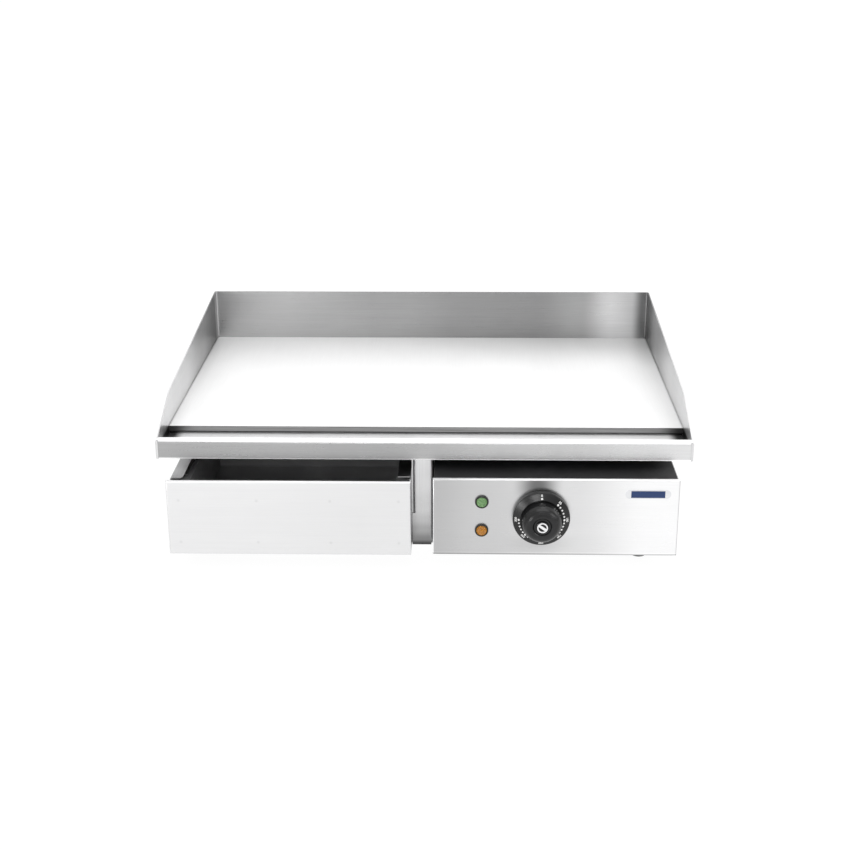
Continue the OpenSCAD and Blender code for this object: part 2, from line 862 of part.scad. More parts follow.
module cutout_case() {
    r = 18;
    y0 = body_back - 27;
    placed() color("ivory") difference() {
        union() {
            block([cutout_x - r, y0, cutout_z - r], [cutout_x + r, body_back, cutout_z + r]);
            rod_y(cutout_x, cutout_z, body_back - 1, body_back + 8, 5);
            for (dx = [-9, 9]) block([cutout_x + dx - 3, y0 - 8, cutout_z - 0.4],
                                     [cutout_x + dx + 3, y0, cutout_z + 0.4]);
        }
        rod_y(cutout_x, cutout_z, body_back - 12, body_back + 9, 3.1);
    }
}

module cutout_collar_nut() {
    placed() color("silver") difference() {
        translate([cutout_x, body_back + sheet, cutout_z]) rotate([-90, 0, 0])
            cylinder(d = 14 / cos(30), h = 3, $fn = 6);
        rod_y(cutout_x, cutout_z, body_back, body_back + 9, 5.05);
    }
}

module cutout_capillary() {
    y = body_back - 14;
    x = capillary_x - 12.5;
    sensor(bulb_ys[1], [
        [capillary_x, bulb_ys[1], capillary_z],
        [capillary_x, y, capillary_z],
        [x, y, capillary_z],
        [x, y, cutout_z + 18]
    ]);
}

module reset_button() {
    placed() color("red") rod_y(cutout_x, cutout_z, body_back - 8, body_back + 10, 3);
}

block_poles = 6;
block_pitch = 13;
function pole_x(i) = block_x0 + block_pitch * (i + 0.5);
block_z = base_top + 11;

module terminal_block() {
    placed() color("ivory") difference() {
        union() {
            block([block_x0, block_y0, base_top],
                  [block_x0 + block_poles * block_pitch, block_y0 + 22, base_top + 20]);
            for (y = [block_y0 - 4, block_y0 + 22])
                block([block_x0, y, base_top], [block_x0 + block_poles * block_pitch, y + 4, base_top + 6]);
        }
        for (i = [0:block_poles - 1], y = [block_y0 + 5, block_y0 + 17])
            rod_z(pole_x(i), y, base_top + 12, base_top + 21, 3);
    }
}

wire_r = 1.4;
wire_bend = 6;

// From the elements' ends to the thermostat and the terminal block
module element_leads() {
    low = terminal_z - 16;
    tx = knob_x + 12;
    ys = terminal_ys();
    x = element_right;
    turn_y = block_y0 - 24;
    placed() color("firebrick") {
        pipe([[x, ys[0], low], [x, ys[0], 44], [tx, ys[0], 44], [tx, 50, 44],
              [tx, 50, knob_z + 8], [tx, tab_y, knob_z + 8]], wire_r, wire_bend);
        pipe([[x, ys[2], low], [x, ys[2], 36], [tx, ys[2], 36], [tx, 34, 36],
              [tx, 34, knob_z - 8], [tx, tab_y, knob_z - 8]], wire_r, wire_bend);
        pipe([[x, ys[1], low], [x, ys[1], block_z], [pole_x(4), ys[1], block_z],
              [pole_x(4), block_y0, block_z]], wire_r, wire_bend);
        pipe([[x, ys[3], low], [x, ys[3], 58], [x - 24, ys[3], 58], [x - 24, turn_y, 58],
              [pole_x(5), turn_y, 58], [pole_x(5), turn_y, block_z],
              [pole_x(5), block_y0, block_z]], wire_r, wire_bend);
    }
}

// Between lamps, thermostat, cut-out and terminal block
module control_leads() {
    tx = knob_x - 12;
    cut_y = body_back - 35;
    placed() color("navy") {
        for (i = [0:1], s = [-1, 1]) {
            x = lamp_x + 3 * s;
            y = 150 + 20 * i + 8 * s;
            z = block_z + 6 * i;
            end_x = pole_x(2 * i) + 3 * s;
            pipe([[x, lamp_end, lamp_zs[i]], [x, y, lamp_zs[i]], [x, y, z],
                  [end_x, y, z], [end_x, block_y0, z]], wire_r, wire_bend);
        }
        pipe([[tx, tab_y, knob_z - 8], [tx, 60, knob_z - 8], [tx, 60, block_z],
              [tx, block_y0, block_z]], wire_r, wire_bend);
        pipe([[tx, tab_y, knob_z + 8], [tx, 300, knob_z + 8], [tx, 300, cutout_z],
              [tx, cut_y, cutout_z]], wire_r, wire_bend);
    }
}

// From the cable gland to the terminal block
module supply_leads() {
    z = block_z;
    y = block_y0 + 22;
    placed() color("saddlebrown") for (i = [0:2])
        pipe([[gland_x + 4 * (i - 1), body_back - 7, gland_z],
              [gland_x + 4 * (i - 1), y + 14 + 4 * i, gland_z],
              [gland_x + 4 * (i - 1), y + 14 + 4 * i, z],
              [pole_x(5 - i), y + 14 + 4 * i, z],
              [pole_x(5 - i), y, z]], wire_r, 3.5);
}

module bored_hex(y0, y1, flats) {
    difference() {
        translate([gland_x, y0, gland_z]) rotate([-90, 0, 0])
            cylinder(d = flats / cos(30), h = y1 - y0, $fn = 6);
        rod_y(gland_x, gland_z, y0 - 1, y1 + 1, 8.1);
    }
}

module gland_body() {
    flange = body_back + sheet;
    placed() color("dimgray") difference() {
        union() {
            rod_y(gland_x, gland_z, body_back - 7, flange + 10, 8);
            translate([gland_x, flange, gland_z]) rotate([-90, 0, 0])
                cylinder(d = 22 / cos(30), h = 5, $fn = 6);
        }
        rod_y(gland_x, gland_z, body_back - 8, flange + 11, cable_r);
    }
}

module gland_cap() {
    y = body_back + sheet + 5;
    placed() color("dimgray") translate([gland_x, y, gland_z]) rotate([-90, 0, 0])
        rotate_extrude() polygon([
            [8.05, 0], [10.6, 0], [10.6, 7.2], [9.6, 10.4], [7.6, gland_end - y],
            [cable_r, gland_end - y], [cable_r, 5.2], [8.05, 5.2]
        ]);
}

module gland_nut() {
    placed() color("dimgray") bored_hex(body_back - 5, body_back, 21);
}

// ---------------------------------------------------------------- feet and screws

module at_feet() {
    for (x = [-foot_x, foot_x], y = foot_ys) translate([x, y, 0]) children();
}

module rubber_feet() {
    h = foot_h + sheet;
    placed() color("black") at_feet() rotate_extrude() polygon([
        [2.7, 5], [4.8, 5], [4.8, 0], [8, 0], [8.6, 0.8], [11, h - 1], [11, h], [2.7, h]
    ]);
}

module foot_screws() {
    placed() color("silver") at_feet() {
        rod_z(0, 0, 2.2, 5, 4.4);
        rod_z(0, 0, 5, base_top + 5, 2.5);
    }
    placed() color("silver") at_feet() hex_nut(0, 0, base_top, base_top + 3.8, 8, 2.5);
}

module body_screws() {
    back = body_back + sheet;
    placed() color("silver") for (s = [-1, 1]) {
        for (y = base_screw_ys) {
            rod_z(s * screw_x, y, foot_h - 2, foot_h, 3.6);
            rod_z(s * screw_x, y, foot_h, base_top + 4, 2);
        }
        for (z = back_screw_zs) {
            rod_y(s * screw_x, z, back, back + 2, 3.6);
            rod_y(s * screw_x, z, back - 6, back, 2);
        }
    }
}

module control_screws() {
    placed() color("silver") for (x = control_screw_xs) {
        rod_z(x, control_screw_y, front_z - 1.6, front_z, 3);
        rod_z(x, control_screw_y, front_z, front_z + 6, 1.6);
    }
}

// ---------------------------------------------------------------- nodes

griddle_plate();
back_guard();
left_guard();
right_guard();
grease_trough();
drain_spout();
heating_element_front();
heating_element_rear();
element_terminals();
clamp_bars();
plate_studs();
clamp_nuts();
insulation_mat();
element_cover();
cover_nuts();
mounting_studs();
mounting_spacers();
mounting_nuts();
body_side_left();
body_side_right();
body_base();
back_panel();
centre_panel();
bay_divider();
drawer_runner_left();
drawer_runner_right();
drawer_tray();
drawer_front();
control_panel();
control_shell();
control_cover();
name_badge();
thermostat_case();
thermostat_switch();
thermostat_screws();
thermostat_capillary();
thermostat_shaft();
knob();
knob_insert();
lamp_bezels();
power_lamp_lens();
heating_lamp_lens();
lamp_holders();
lamp_clips();
cutout_case();
cutout_collar_nut();
cutout_capillary();
reset_button();
bulb_clips();
terminal_block();
element_leads();
control_leads();
supply_leads();
gland_body();
gland_cap();
gland_nut();
rubber_feet();
foot_screws();
body_screws();
control_screws();
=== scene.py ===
"""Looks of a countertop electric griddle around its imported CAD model."""
import math

import bpy
from mathutils import Matrix, Vector


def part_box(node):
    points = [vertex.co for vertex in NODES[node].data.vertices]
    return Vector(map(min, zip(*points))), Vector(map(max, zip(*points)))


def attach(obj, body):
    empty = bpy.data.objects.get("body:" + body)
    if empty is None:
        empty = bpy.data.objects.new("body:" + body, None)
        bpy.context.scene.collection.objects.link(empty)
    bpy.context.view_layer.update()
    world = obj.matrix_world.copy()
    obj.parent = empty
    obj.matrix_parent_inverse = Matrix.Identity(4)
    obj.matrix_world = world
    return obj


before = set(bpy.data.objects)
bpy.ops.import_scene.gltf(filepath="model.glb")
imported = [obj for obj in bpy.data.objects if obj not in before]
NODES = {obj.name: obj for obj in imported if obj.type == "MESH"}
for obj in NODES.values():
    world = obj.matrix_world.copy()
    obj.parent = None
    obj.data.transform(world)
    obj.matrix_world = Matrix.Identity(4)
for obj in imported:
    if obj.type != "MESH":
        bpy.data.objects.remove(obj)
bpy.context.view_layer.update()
MM = 0.001

# Colour sockets of a Mix node: its two inputs and its result
MIX_A, MIX_B, MIX_OUT = 6, 7, 2

# The picture's width and the camera's focal length in its pixels, then the camera's place
# and turn, from the fit with the depth held
PHOTO_PX = 850
FOCAL_PX = 1427.9
SENSOR_MM = 36.0
CAMERA_RIGHT, CAMERA_AHEAD, CAMERA_ABOVE = 35.74 * MM, 1357.9 * MM, 524.1 * MM
CAMERA_YAW, CAMERA_PITCH, CAMERA_ROLL = 0.0250, 0.3511, -0.0040

FLOOR_SIZE = 80
FLOOR_DROP = 0.0002

# Dial marks: their rings, sizes and the angle between two numbers
DOT_RING, NUMBER_RING = 23.0 * MM, 25.9 * MM
LARGE_DOT, SMALL_DOT, NUMBER_SIZE = 1.15 * MM, 0.95 * MM, 3.3 * MM
NUMBER_STEP = 45


# ---------------------------------------------------------------- places

def lo(node):
    return Vector(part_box(node)[0])


def hi(node):
    return Vector(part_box(node)[1])


PLATE_TOP = hi("griddle_plate").z
FASCIA_Y = lo("grease_trough").y
PLATE_FRONT = lo("griddle_plate").y
TROUGH_Z = lo("grease_trough").z
PANEL_Y = lo("control_panel").y
KNOB = (lo("knob") + hi("knob")) / 2
CAP_Y = lo("knob_insert").y
BADGE_Y = lo("name_badge").y
DRAWER_LO, DRAWER_HI = lo("drawer_front"), hi("drawer_front")

# Across the griddle, from the middle: the plate's side, and a span inside the guards' sheet
PLATE_HALF = 0.2738
GUARD_SHEET = (0.2741, 0.2747)

# Heights between which the trough's turned-in lower edge gives way to the fascia
TROUGH_EDGE = (TROUGH_Z + 0.0010, TROUGH_Z + 0.0020)

# Painted reflections of the knob on the control panel, dark patches above and below it: place from the
# knob's axis, half-axes, depth
KNOB_REFLECTIONS = ((-0.004, 0.034, 0.022, 0.022, 0.72), (0.0, -0.030, 0.034, 0.014, 0.16))


# ---------------------------------------------------------------- node materials

class Mat:
    """A procedural material: nodes are made and joined by short calls."""

    def __init__(self, name):
        self.m = bpy.data.materials.new(name)
        self.m.use_nodes = True
        self.t = self.m.node_tree
        self.bsdf = self.t.nodes["Principled BSDF"]
        self.tc = self.add("ShaderNodeTexCoord")
        self.pos = self.tc.outputs["Object"]

    def add(self, kind, **props):
        n = self.t.nodes.new(kind)
        for k, v in props.items():
            setattr(n, k, v)
        return n

    def put(self, node, socket, value):
        if hasattr(value, "is_output"):
            self.t.links.new(value, node.inputs[socket])
        else:
            node.inputs[socket].default_value = value

    def set(self, **values):
        for k, v in values.items():
            self.put(self.bsdf, k.replace("_", " "), v)

    def mapped(self, scale, shift=(0, 0, 0), turn=(0, 0, 0)):
        n = self.add("ShaderNodeMapping")
        self.put(n, "Vector", self.pos)
        n.inputs["Scale"].default_value = scale
        n.inputs["Location"].default_value = shift
        n.inputs["Rotation"].default_value = turn
        return n.outputs[0]

    def noise(self, vec, detail, rough):
        n = self.add("ShaderNodeTexNoise")
        self.put(n, "Vector", vec)
        n.inputs["Scale"].default_value = 1.0
        n.inputs["Detail"].default_value = detail
        n.inputs["Roughness"].default_value = rough
        return n.outputs["Fac"]

    def voronoi(self, vec, feature):
        n = self.add("ShaderNodeTexVoronoi", feature=feature)
        self.put(n, "Vector", vec)
        n.inputs["Scale"].default_value = 1.0
        return n.outputs["Distance"]

    def span(self, value, a, b, c=0.0, d=1.0, smooth=True):
        n = self.add("ShaderNodeMapRange")
        n.interpolation_type = "SMOOTHSTEP" if smooth else "LINEAR"
        self.put(n, "Value", value)
        for key, v in (("From Min", a), ("From Max", b), ("To Min", c), ("To Max", d)):
            self.put(n, key, v)
        return n.outputs[0]

    def math(self, op, a, b=0.0):
        n = self.add("ShaderNodeMath", operation=op)
        self.put(n, 0, a)
        self.put(n, 1, b)
        return n.outputs[0]

    def axis(self, k):
        n = self.add("ShaderNodeSeparateXYZ")
        self.put(n, 0, self.pos)
        return n.outputs[k]

    def across(self):
        return self.math("ABSOLUTE", self.axis("X"))

    def normal_axis(self, k):
        g = self.add("ShaderNodeNewGeometry")
        n = self.add("ShaderNodeSeparateXYZ")
        self.put(n, 0, g.outputs["True Normal"])
        return n.outputs[k]

    def mix(self, fac, a, b, how="MIX"):
        n = self.add("ShaderNodeMix", data_type="RGBA", blend_type=how)
        self.put(n, 0, fac)
        self.put(n, MIX_A, a)
        self.put(n, MIX_B, b)
        return n.outputs[MIX_OUT]

    def bump(self, height, strength, distance):
        n = self.add("ShaderNodeBump")
        self.put(n, "Height", height)
        n.inputs["Strength"].default_value = strength
        n.inputs["Distance"].default_value = distance
        self.put(self.bsdf, "Normal", n.outputs[0])


STRETCH = {"X": (0.012, 1.0, 1.0), "Y": (1.0, 0.012, 1.0), "Z": (1.0, 1.0, 0.012)}


def steel(name, base, rough=0.32, along="X", contrast=0.10, tint=(1.0, 1.0, 1.005),
          grain=1600.0, bump=0.25, blotch=0.04, bands=0.3, shade=None, bare=None):
    """Brushed stainless steel: long fine lines, broader bands, and faint smudges."""
    m = Mat(name)
    s = STRETCH[along]
    fine = m.noise(m.mapped([grain * k for k in s]), 3.0, 0.6)
    band = m.noise(m.mapped([140.0 * k for k in s]), 2.0, 0.5)
    cloud = m.noise(m.mapped((9, 9, 9)), 3.0, 0.55)
    smear = m.noise(m.mapped((42, 42, 42), (3, 1, 2)), 5.0, 0.65)
    a = m.span(fine, 0.25, 0.75, 1.0 - contrast, 1.0 + contrast, False)
    b = m.span(band, 0.3, 0.7, 1.0 - contrast * bands, 1.0 + contrast * bands, False)
    c = m.span(cloud, 0.3, 0.7, 1.0 - blotch, 1.0 + blotch, False)
    level = m.math("MULTIPLY", m.math("MULTIPLY", a, b), c)
    if shade is not None:
        level = m.math("MULTIPLY", level, shade(m))
    scaled = m.add("ShaderNodeVectorMath", operation="SCALE")
    scaled.inputs[0].default_value = [base * t for t in tint]
    m.put(scaled, "Scale", level)
    m.put(m.bsdf, "Base Color", scaled.outputs[0])
    r = m.math("ADD", m.span(fine, 0.2, 0.8, rough - 0.05, rough + 0.05, False),
               m.span(smear, 0.45, 0.75, 0.0, 0.06, False))
    m.put(m.bsdf, "Roughness", r)
    m.set(Metallic=1.0)
    if bare is not None:
        m.put(m.bsdf, "Metallic", bare(m))
    m.bump(fine, bump, 0.00006)
    return m.m


def plastic(name, colour, rough=0.4, grit=2600.0, bump=0.15, vary=0.15, spec=0.5, coat=0.0):
    """Moulded plastic or rubber: fine grit, slight tone changes, handling marks."""
    m = Mat(name)
    fine = m.noise(m.mapped((grit, grit, grit)), 3.0, 0.6)
    cloud = m.noise(m.mapped((60, 60, 60)), 4.0, 0.6)
    lo_c = tuple(k * (1 - vary) for k in colour) + (1.0,)
    hi_c = tuple(min(k * (1 + vary), 1.0) for k in colour) + (1.0,)
    m.put(m.bsdf, "Base Color", m.mix(m.span(cloud, 0.3, 0.7), lo_c, hi_c))
    m.put(m.bsdf, "Roughness", m.span(cloud, 0.3, 0.7, rough - 0.06, rough + 0.08, False))
    m.bsdf.inputs["Specular IOR Level"].default_value = spec
    m.bsdf.inputs["Coat Weight"].default_value = coat
    m.bump(fine, bump, 0.00004)
    return m.m


def turned(name, colour):
    """Satin plastic with fine rings around the knob's axis."""
    m = Mat(name)
    dx = m.math("SUBTRACT", m.axis("X"), KNOB.x)
    dz = m.math("SUBTRACT", m.axis("Z"), KNOB.z)
    radius = m.math("SQRT", m.math("ADD", m.math("MULTIPLY", dx, dx), m.math("MULTIPLY", dz, dz)))
    pair = m.add("ShaderNodeCombineXYZ")
    m.put(pair, 0, m.math("MULTIPLY", radius, 4200.0))
    m.put(pair, 1, m.math("MULTIPLY", m.axis("Y"), 2600.0))
    rings = m.noise(pair.outputs[0], 2.0, 0.6)
    cloud = m.noise(m.mapped((70, 70, 70)), 4.0, 0.6)
    dark = tuple(k * 0.7 for k in colour) + (1.0,)
    pale = tuple(k * 2.0 for k in colour) + (1.0,)
    m.put(m.bsdf, "Base Color", m.mix(m.span(cloud, 0.3, 0.75), dark, pale))
    m.put(m.bsdf, "Roughness", m.span(rings, 0.3, 0.7, 0.16, 0.30, False))
    m.bsdf.inputs["Specular IOR Level"].default_value = 0.42
    m.bsdf.inputs["Anisotropic"].default_value = 0.35
    around = m.add("ShaderNodeTangent", direction_type="RADIAL", axis="Y")
    m.put(m.bsdf, "Tangent", around.outputs[0])
    m.bump(rings, 0.25, 0.00005)
    return m.m


def cap_material():
    """Satin metallised disc whose recess is filled with black."""
    m = Mat("cap_silver")
    fine = m.noise(m.mapped((1800, 1800, 60)), 3.0, 0.6)
    face = m.span(m.axis("Y"), CAP_Y + 0.0011, CAP_Y + 0.0013, 1.0, 0.0)
    pale = m.mix(m.span(fine, 0.3, 0.7), (0.80, 0.80, 0.81, 1), (0.90, 0.90, 0.90, 1))
    m.put(m.bsdf, "Base Color", m.mix(face, (0.012, 0.012, 0.012, 1), pale))
    m.put(m.bsdf, "Metallic", m.math("MULTIPLY", face, 0.5))
    m.put(m.bsdf, "Roughness", m.span(fine, 0.2, 0.8, 0.28, 0.4, False))
    m.bump(fine, 0.15, 0.00004)
    return m.m


def badge_material():
    """Dark printed bar on a silver plate."""
    m = Mat("badge_plate")
    fine = m.noise(m.mapped((30, 30, 2600)), 3.0, 0.6)
    bar = m.span(m.axis("Y"), BADGE_Y + 0.00025, BADGE_Y + 0.00035, 1.0, 0.0)
    silver = m.mix(m.span(fine, 0.3, 0.7), (0.74, 0.75, 0.77, 1), (0.84, 0.84, 0.85, 1))
    ink = m.mix(m.span(fine, 0.3, 0.7), (0.006, 0.026, 0.105, 1), (0.010, 0.038, 0.135, 1))
    m.put(m.bsdf, "Base Color", m.mix(bar, silver, ink))
    m.put(m.bsdf, "Metallic", m.math("MULTIPLY", m.math("SUBTRACT", 1.0, bar), 0.9))
    m.put(m.bsdf, "Roughness", m.span(fine, 0.2, 0.8, 0.30, 0.42, False))
    m.bump(fine, 0.1, 0.00004)
    return m.m


def coated(name, colour, rough, metal=0.0, spec=0.5, worn=1.6):
    """Satin coated sheet with a faint orange peel and rubbed patches."""
    m = Mat(name)
    peel = m.noise(m.mapped((700, 700, 700)), 2.0, 0.5)
    rub = m.noise(m.mapped((22, 22, 22), (1, 5, 2)), 5.0, 0.65)
    lighter = tuple(min(k * worn + 0.006, 1.0) for k in colour) + (1.0,)
    m.put(m.bsdf, "Base Color", m.mix(m.span(rub, 0.45, 0.8), colour + (1.0,), lighter))
    m.put(m.bsdf, "Roughness", m.span(rub, 0.3, 0.8, rough + 0.05, rough - 0.1, False))
    m.set(Metallic=metal)
    m.bsdf.inputs["Specular IOR Level"].default_value = spec
    m.bump(peel, 0.2, 0.0001)
    return m.m


def lens(name, colour, dark, glow):
    """Pebbled translucent plastic."""
    m = Mat(name)
    pebble = m.voronoi(m.mapped((900, 900, 900)), "SMOOTH_F1")
    cloud = m.noise(m.mapped((260, 260, 260)), 2.0, 0.5)
    m.put(m.bsdf, "Base Color", m.mix(m.span(pebble, 0.1, 0.6), colour + (1.0,), dark + (1.0,)))
    m.put(m.bsdf, "Roughness", m.span(cloud, 0.3, 0.7, 0.12, 0.25, False))
    m.bsdf.inputs["Transmission Weight"].default_value = 0.35
    m.bsdf.inputs["IOR"].default_value = 1.5
    m.bsdf.inputs["Subsurface Weight"].default_value = 0.3
    m.bsdf.inputs["Subsurface Radius"].default_value = (0.002, 0.002, 0.002)
    m.bsdf.inputs["Emission Color"].default_value = colour + (1.0,)
    m.bsdf.inputs["Emission Strength"].default_value = glow
    m.bump(pebble, 0.7, 0.0005)
    return m.m


def plate_material():
    """Ground steel plate: fine lines front to back, faint swirls, a stain at left and darker lined edge
    faces; painted reflections of the guards darken its right edge and rear right, and painted shade
    lies along the guards and on the front face's ends and foot.
    """
    m = Mat("griddle_plate_ground")
    fine = m.noise(m.mapped((900, 18, 900)), 3.0, 0.6)
    swirl = m.noise(m.mapped((14, 9, 14), (0, 0, 0), (0, 0, 0.4)), 6.0, 0.7)
    lines = m.noise(m.mapped((12, 12, 1400)), 3.0, 0.6)
    stain = m.math("MULTIPLY", m.span(m.axis("X"), -PLATE_HALF, -0.258, 0.12, 0.0),
                   m.span(swirl, 0.3, 0.7, 0.7, 1.3, False))
    # Painted reflection of the right guard darkens the plate towards its right edge; the stain at left
    # is subtracted here
    stain_and_guard_shade = m.math("SUBTRACT", m.span(m.axis("X"), 0.24, 0.273, 1.0, 0.93), stain)
    # Painted shade in a narrow band along the seams with both guards
    stain_and_guard_shade = m.math("MULTIPLY", stain_and_guard_shade, m.span(m.across(), 0.2712, 0.2735, 1.0, 0.62))
    # Painted reflection of the back guard darkens the plate towards its rear right
    rear = m.span(m.axis("Y"), 0.10, 0.225, 0.0, 1.0)
    right = m.span(m.axis("X"), -0.1, 0.27, 0.0, 0.27)
    rear_guard_reflection = m.math("SUBTRACT", 1.0, m.math("MULTIPLY", rear, right))
    level = m.math("MULTIPLY", m.span(fine, 0.25, 0.75, 0.975, 1.01, False),
                   m.math("MULTIPLY", stain_and_guard_shade, rear_guard_reflection))
    level = m.math("MULTIPLY", level, m.span(swirl, 0.3, 0.7, 0.975, 1.01, False))
    # Edge faces: darker lines, with painted shade near the trough's ends
    side = m.math("MULTIPLY", m.span(lines, 0.3, 0.7, 0.20, 0.36, False),
                  m.span(m.across(), 0.245, 0.271, 1.0, 0.15))
    # Painted shadow in the gap along the foot of the front face
    side = m.math("MULTIPLY", side,
                  m.span(m.axis("Z"), PLATE_TOP - 0.0064, PLATE_TOP - 0.0052, 0.03, 1.0))
    flat = m.span(m.normal_axis("Z"), 0.3, 0.8)
    level = m.math("ADD", m.math("MULTIPLY", level, flat),
                   m.math("MULTIPLY", side, m.math("SUBTRACT", 1.0, flat)))
    scaled = m.add("ShaderNodeVectorMath", operation="SCALE")
    scaled.inputs[0].default_value = (0.93, 0.93, 0.93)
    m.put(scaled, "Scale", level)
    m.put(m.bsdf, "Base Color", scaled.outputs[0])
    m.put(m.bsdf, "Roughness", m.span(swirl, 0.3, 0.7, 0.42, 0.5, False))
    m.set(Metallic=0.25)
    m.bump(fine, 0.12, 0.00005)
    return m.m


def weld_dots_and_highlight(m):
    """Faint round marks where the drawer's front is spot-welded, and a painted highlight brightening
    its top fold.
    """
    z0, z1 = DRAWER_LO.z, DRAWER_HI.z
    x0, x1 = DRAWER_LO.x, DRAWER_HI.x
    total = None
    for zf in (0.17, 0.74):
        for xf in (0.05, 0.37, 0.67, 0.95):
            n = m.add("ShaderNodeVectorMath", operation="DISTANCE")
            m.put(n, 0, m.pos)
            n.inputs[1].default_value = (x0 + (x1 - x0) * xf, DRAWER_LO.y, z0 + (z1 - z0) * zf)
            dot = m.span(n.outputs["Value"], 0.0, 0.0026, 0.10, 0.0)
            total = dot if total is None else m.math("ADD", total, dot)
    # Painted highlight brightening the up-facing top fold
    top_highlight = m.span(m.normal_axis("Z"), 0.2, 0.7, 1.0, 1.22)
    return m.math("MULTIPLY", top_highlight, m.math("SUBTRACT", 1.0, total))


def ramp(m, value, stops):
    """A smooth curve through (position, level) stops."""
    total = None
    for (p0, v0), (p1, v1) in zip(stops, stops[1:]):
        step = m.span(value, p0, p1, 0.0, v1 - v0)
        total = step if total is None else m.math("ADD", total, step)
    return m.math("ADD", total, stops[0][1])


def strip_shade(m):
    """The centre strip darkens towards its foot: painted shade, for the shadowed floor it reflects
    between the drawer and the control box.
    """
    return ramp(m, m.axis("Z"), ((0.0145, 0.10), (0.0195, 0.32), (0.031, 0.56),
                                 (0.042, 0.75), (0.054, 0.88), (0.085, 1.0)))


def divider_shade(m):
    """Near-black up-facing top flange and bare front edge, darker towards its foot with the centre
    strip's painted shade.
    """
    return m.math("MULTIPLY", strip_shade(m), m.span(m.normal_axis("Z"), 0.3, 0.8, 0.80, 0.015))


def guard_shade(m):
    """Back guard: painted reflections, lighter at left, darker in the middle, a bright patch near the
    right end and dark in the right corner; its top edge is painted darker.
    """
    x = ramp(m, m.axis("X"), ((-0.275, 1.12), (-0.22, 1.10), (-0.05, 0.79), (0.05, 0.68), (0.13, 0.68),
                              (0.19, 0.94), (0.232, 1.75), (0.254, 1.75), (0.268, 0.62)))
    # Painted shade dulling the up-facing top edge
    return m.math("MULTIPLY", x, m.span(m.normal_axis("Z"), 0.3, 0.8, 1.0, 0.30))


def side_shade(m):
    """Side guards: painted reflection darkening them towards the rear, and painted shade on their inner
    face below the plate beside the trough.
    """
    # Painted reflection darkening the guards towards the rear
    y = ramp(m, m.axis("Y"), ((-0.176, 0.99), (0.0, 0.90), (0.11, 0.54), (0.20, 0.20)))
    # Painted shade on the inner face below the plate, from the fascia to the plate's front
    low = m.span(m.axis("Z"), PLATE_TOP - 0.002, PLATE_TOP + 0.0015, 0.10, 1.0)
    back = m.span(m.axis("Y"), PLATE_FRONT - 0.004, PLATE_FRONT + 0.004)
    outer = m.span(m.across(), *GUARD_SHEET)
    front = m.span(m.axis("Y"), FASCIA_Y + 0.0012, FASCIA_Y + 0.0020, 1.0, 0.0)
    painted_trough_shade = m.math("MAXIMUM", m.math("MAXIMUM", low, back), m.math("MAXIMUM", outer, front))
    return m.math("MULTIPLY", y, painted_trough_shade)


def trough_floor(m):
    """1 on the up-facing floor behind the lip, 0 elsewhere."""
    return m.math("MULTIPLY", m.span(m.normal_axis("Z"), 0.3, 0.8),
                  m.span(m.axis("Y"), FASCIA_Y + 0.0165, FASCIA_Y + 0.0175))


def trough_shade(m):
    """Fascia painted brighter to the right, the lip and floor painted pale as lit from above, a painted
    highlight on the turned-in lower edge, and painted shade darkening the floor's ends.
    """
    # Painted light: the fascia brighter to the right
    x = ramp(m, m.axis("X"), ((-0.275, 0.98), (-0.05, 1.0), (0.12, 1.36), (0.27, 1.75)))
    front = m.span(m.normal_axis("Y"), -0.85, -0.35, 1.0, 0.0)
    # Painted light: faces other than the fascia's front, the lip and floor, painted pale as lit from
    # above
    level = m.math("ADD", m.math("MULTIPLY", x, front),
                   m.math("MULTIPLY", m.math("SUBTRACT", 1.0, front), 2.1))
    # Painted shade at the floor's ends
    painted_end_shade = m.math("MULTIPLY", trough_floor(m), m.span(m.across(), 0.256, 0.268, 0.0, 0.95))
    # Painted highlight on the turned-in lower edge
    edge = m.span(m.axis("Z"), *TROUGH_EDGE, 2.3, 1.0)
    return m.math("MULTIPLY", m.math("MULTIPLY", level, edge), m.math("SUBTRACT", 1.0, painted_end_shade))


def trough_bare(m):
    """The floor's film of grease and the turned-in lower edge are less mirror-like."""
    edge = m.span(m.axis("Z"), *TROUGH_EDGE, 1.0, 0.0)
    return m.math("SUBTRACT", 1.0, m.math("MAXIMUM", edge, m.math("MULTIPLY", trough_floor(m), 0.9)))


